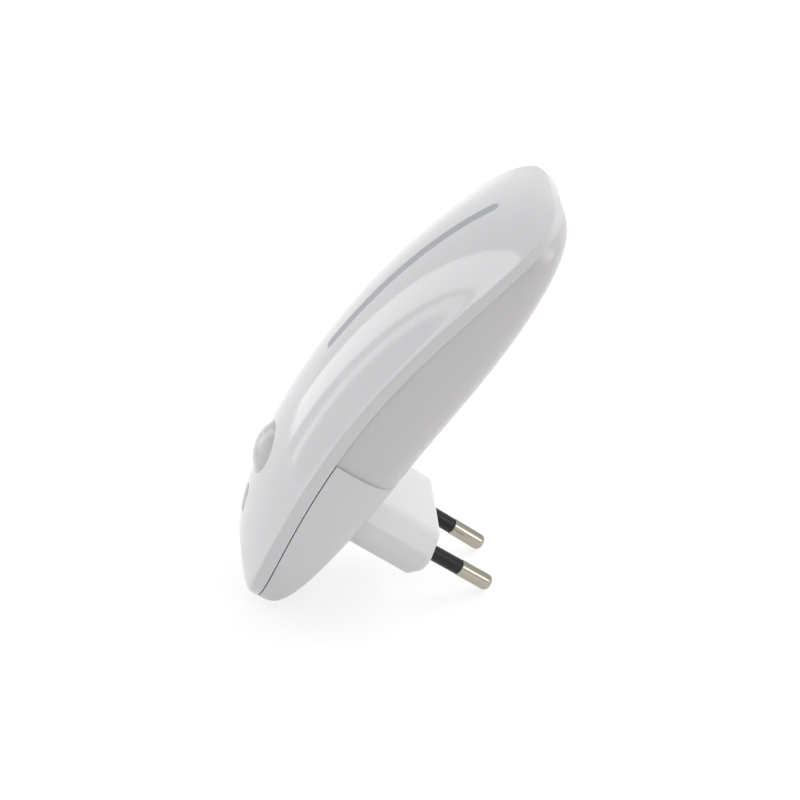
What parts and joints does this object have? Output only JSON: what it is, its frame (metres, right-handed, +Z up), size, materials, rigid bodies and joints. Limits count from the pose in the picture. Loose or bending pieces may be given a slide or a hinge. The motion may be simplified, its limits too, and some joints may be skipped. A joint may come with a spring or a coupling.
{
  "type": "plug-in night light",
  "caption": "Long blunt egg-shaped night light on a two-pin plug, with a light slit, a motion-sensor dome and an opal rear diffuser that lights the wall.",
  "frame": {"origin": "midway between the two pins on the plug's engagement face", "axes": "+Y into the wall along the pins, +Z up along the casing, +X to the right seen from the front"},
  "size_m": [0.052, 0.0657, 0.12],
  "materials": {
    "cover": "polished white moulded plastic",
    "light_bar": "frosted light guide, grey when off",
    "lens": "milky polyethylene with lens facets inside",
    "window": "smooth translucent grey",
    "diffuser": "opal, smooth, lets light through",
    "housing": "satin white moulded plastic",
    "plug": "satin warm white moulded plastic",
    "nickel": "nickel-plated brass, turned",
    "sleeve": "black insulating sleeve, satin",
    "brass": "bare strip",
    "screw": "zinc-plated",
    "board": "green solder mask on glass fibre",
    "led_board": "white solder mask on glass fibre",
    "film_case": "yellow box case",
    "can_sleeve": "black shrink sleeve",
    "chip": "black moulded package",
    "resistor": "lacquered",
    "sensor_can": "plated can with a dark filter window",
    "photocell": "clear-coated cell",
    "led": "pale yellow phosphor",
    "wire": "tinned"
  },
  "bodies": {
    "root": {"front_cover": "cover", "light_bar": "light_bar", "sensor_lens": "lens", "lens_retainer": "housing", "light_window": "window", "upper_diffuser": "diffuser", "rear_housing": "housing", "plug_block": "plug", "left_pin": "nickel", "right_pin": "nickel", "left_sleeve": "sleeve", "right_sleeve": "sleeve", "left_contact": "brass", "right_contact": "brass", "plug_screws": "screw", "driver_board": "board", "film_capacitor": "film_case", "reservoir_capacitor": "can_sleeve", "bridge_rectifier": "chip", "fuse_resistor": "resistor", "control_chip": "chip", "motion_sensor": "sensor_can", "light_sensor": "photocell", "chip_resistors": "chip", "board_screws": "screw", "led_board": "led_board", "rear_leds": "led", "front_leds": "led", "board_link": "wire", "led_board_screws": "screw", "housing_screws": "screw"}
  },
  "joints": []
}
